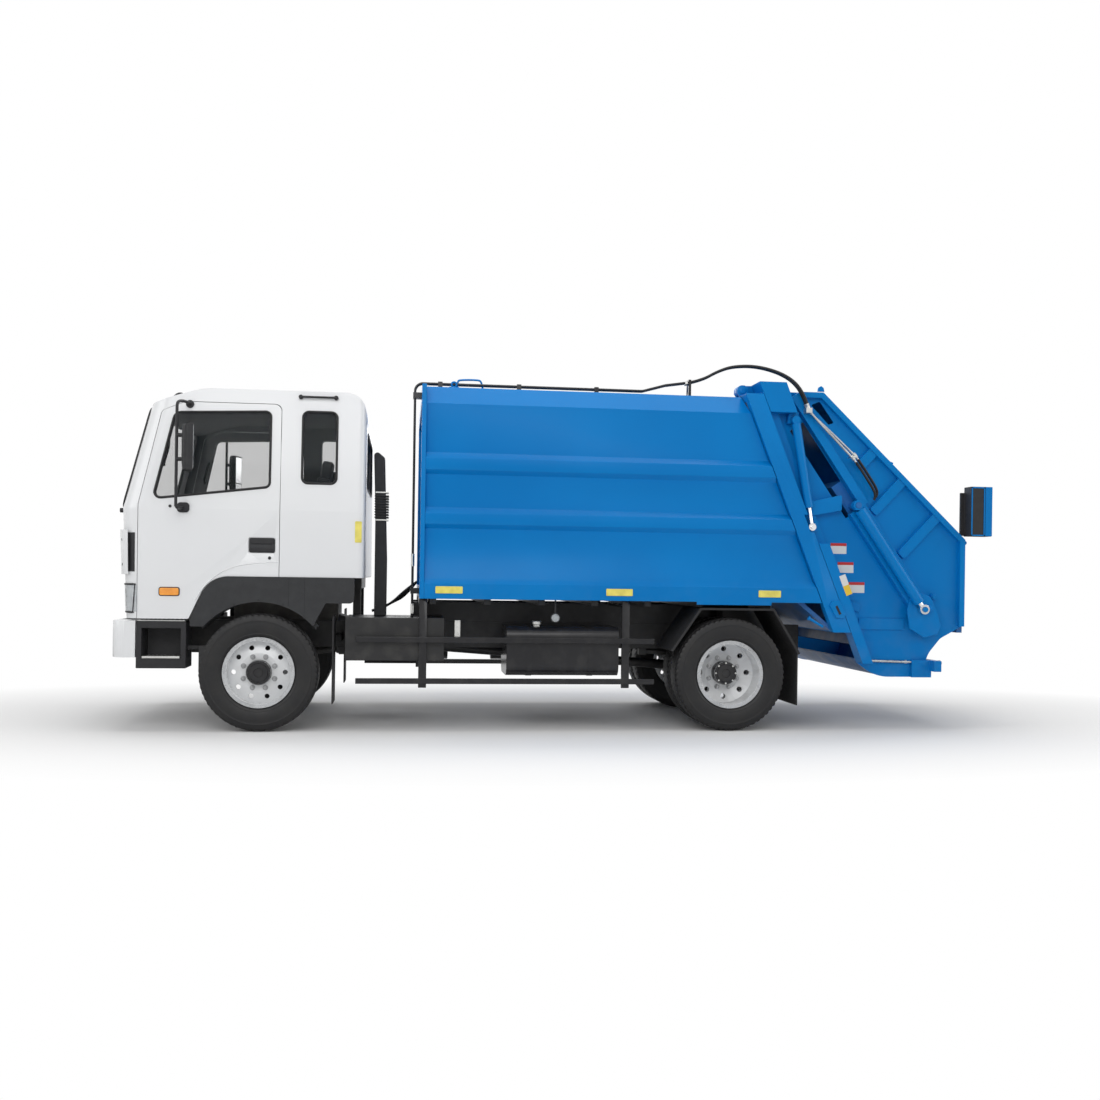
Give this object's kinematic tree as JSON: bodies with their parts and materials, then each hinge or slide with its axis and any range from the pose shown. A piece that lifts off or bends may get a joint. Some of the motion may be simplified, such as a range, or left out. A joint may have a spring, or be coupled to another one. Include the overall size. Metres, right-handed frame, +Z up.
{
  "type": "garbage truck",
  "caption": "Rear-loading refuse compactor truck: tilting cab over the front axle, ribbed blue body, lifting tailgate with slanted packer and open hopper.",
  "frame": {"origin": "on the ground, under the middle of the truck's length and width", "axes": "+X towards the tailgate at the rear, +Y towards the truck's right side, +Z up"},
  "size_m": [7.8652, 2.8532, 3.3304],
  "materials": {
    "white_paint": "gloss white enamel",
    "blue_paint": "gloss blue enamel",
    "chassis_black": "satin black chassis paint",
    "guard_paint": "gloss black paint",
    "engine_iron": "painted casting",
    "axle_iron": "black painted casting",
    "black_plastic": "grained dark plastic",
    "hopper_steel": "worn blue paint",
    "flap_rubber": "matt rubber",
    "window_glass": "lightly tinted",
    "seat_fabric": "woven cloth",
    "lamp_plastic": "clear lens",
    "lamp_case": "black lamp housing",
    "tyre_rubber": "matt rubber",
    "wheel_paint": "silver wheel paint",
    "cylinder_paint": "blue paint",
    "pipe_steel": "plated pipe",
    "hose_rubber": "smooth rubber",
    "rod_chrome": "hard chrome"
  },
  "bodies": {
    "chassis": {"chassis_frame": "chassis_black", "axles": "chassis_black", "leaf_springs": "chassis_black", "engine_block": "engine_iron", "fuel_tank": "chassis_black", "side_boxes": "chassis_black", "side_guards": "guard_paint", "front_bumper": "white_paint", "entry_steps": "black_plastic", "air_intake": "black_plastic", "body_sides": "blue_paint", "body_roof": "blue_paint", "body_floor": "blue_paint", "body_front": "blue_paint", "body_subframe": "chassis_black", "rear_portal": "blue_paint", "mudguards": "flap_rubber", "roof_pipes": "pipe_steel", "roof_hoses": "hose_rubber"},
    "cab": {"cab_shell": "white_paint", "cab_glass": "window_glass", "fender_flares": "black_plastic", "seats": "seat_fabric", "dashboard": "black_plastic", "headlamps": "lamp_plastic"},
    "door_left": {"door_left": "white_paint", "door_glass_left": "window_glass", "mirror_left": "black_plastic"},
    "door_right": {"door_right": "white_paint", "door_glass_right": "window_glass", "mirror_right": "black_plastic"},
    "knuckle_left": {"knuckle_left": "axle_iron"},
    "knuckle_right": {"knuckle_right": "axle_iron"},
    "front_wheel_left": {"front_tyre_left": "tyre_rubber", "front_rim_left": "wheel_paint"},
    "front_wheel_right": {"front_tyre_right": "tyre_rubber", "front_rim_right": "wheel_paint"},
    "rear_wheels_left": {"rear_tyres_left": "tyre_rubber", "rear_rims_left": "wheel_paint"},
    "rear_wheels_right": {"rear_tyres_right": "tyre_rubber", "rear_rims_right": "wheel_paint"},
    "tailgate": {"gate_sides": "blue_paint", "gate_posts": "blue_paint", "guide_beams": "blue_paint", "gate_cover": "blue_paint", "hopper": "hopper_steel", "gate_bar": "blue_paint", "lamp_boxes": "lamp_case", "gate_fittings": "pipe_steel", "packer_rods": "rod_chrome"},
    "packer": {"packer_carriage": "hopper_steel", "packer_barrels": "cylinder_paint"},
    "blade": {"packing_blade": "hopper_steel"},
    "blade_barrels": {"blade_barrels": "cylinder_paint"},
    "blade_rods": {"blade_rods": "rod_chrome"},
    "lift_barrels": {"lift_barrels": "cylinder_paint"},
    "lift_rods": {"lift_rods": "rod_chrome"},
    "ejector": {"ejector_plate": "blue_paint"}
  },
  "joints": [
    {"name": "cab_tilt", "type": "hinge", "parent": "chassis", "child": "cab", "pos_m": [-3.8115, 0, 0.68], "axis": [0, -1, 0], "range_deg": [0, 45]},
    {"name": "door_left_hinge", "type": "hinge", "parent": "cab", "child": "door_left", "pos_m": [-3.6795, -1.15, 1.4], "axis": [0, 0, -1], "range_deg": [0, 70]},
    {"name": "door_right_hinge", "type": "hinge", "parent": "cab", "child": "door_right", "pos_m": [-3.6795, 1.15, 1.4], "axis": [0, 0, 1], "range_deg": [0, 70]},
    {"name": "steer_left", "type": "hinge", "parent": "chassis", "child": "knuckle_left", "pos_m": [-2.6715, -0.9, 0.507], "axis": [0, 0, 1], "range_deg": [-35, 35]},
    {"name": "steer_right", "type": "hinge", "parent": "chassis", "child": "knuckle_right", "pos_m": [-2.6715, 0.9, 0.507], "axis": [0, 0, 1], "range_deg": [-35, 35]},
    {"name": "front_wheel_left_spin", "type": "hinge", "parent": "knuckle_left", "child": "front_wheel_left", "pos_m": [-2.6715, -1.025, 0.507], "axis": [0, 1, 0], "continuous": true},
    {"name": "front_wheel_right_spin", "type": "hinge", "parent": "knuckle_right", "child": "front_wheel_right", "pos_m": [-2.6715, 1.025, 0.507], "axis": [0, 1, 0], "continuous": true},
    {"name": "rear_wheels_left_spin", "type": "hinge", "parent": "chassis", "child": "rear_wheels_left", "pos_m": [1.4785, -0.9005, 0.507], "axis": [0, 1, 0], "continuous": true},
    {"name": "rear_wheels_right_spin", "type": "hinge", "parent": "chassis", "child": "rear_wheels_right", "pos_m": [1.4785, 0.9005, 0.507], "axis": [0, 1, 0], "continuous": true},
    {"name": "tailgate_lift", "type": "hinge", "parent": "chassis", "child": "tailgate", "pos_m": [1.6095, 0, 3.095], "axis": [0, -1, 0], "range_deg": [0, 80], "deforming": ["roof_hoses"]},
    {"name": "lift_barrel_swing", "type": "hinge", "parent": "tailgate", "child": "lift_barrels", "pos_m": [2.0575, 0, 2.814], "axis": [0, -1, 0], "range_deg": [-82, 0]},
    {"name": "lift_rod_slide", "type": "slide", "parent": "lift_barrels", "child": "lift_rods", "axis": [0.1697, 0, -0.9855], "range_m": [0, 0.69]},
    {"name": "packer_slide", "type": "slide", "parent": "tailgate", "child": "packer", "axis": [-0.5693, 0, 0.8221], "range_m": [0, 0.84]},
    {"name": "blade_swing", "type": "hinge", "parent": "packer", "child": "blade", "pos_m": [3.0125, 0, 1.5186], "axis": [0, -1, 0], "range_deg": [0, 90]},
    {"name": "blade_barrel_swing", "type": "hinge", "parent": "packer", "child": "blade_barrels", "pos_m": [2.6304, 0, 2.2636], "axis": [0, -1, 0], "range_deg": [0, 5]},
    {"name": "blade_rod_slide", "type": "slide", "parent": "blade_barrels", "child": "blade_rods", "axis": [0.5934, 0, -0.8049], "range_m": [-0.33, 0]},
    {"name": "ejector_slide", "type": "slide", "parent": "chassis", "child": "ejector", "axis": [1, 0, 0], "range_m": [0, 2.7]}
  ],
  "couplings": [
    {"joint": "steer_right", "follows": "steer_left", "ratio": 1},
    {"joint": "lift_barrel_swing", "follows": "tailgate_lift", "ratio": -1.0096},
    {"joint": "lift_rod_slide", "follows": "tailgate_lift", "m_per_rad": 0.4867},
    {"joint": "blade_barrel_swing", "follows": "blade_swing", "ratio": 0.048},
    {"joint": "blade_rod_slide", "follows": "blade_swing", "m_per_rad": -0.2032}
  ]
}
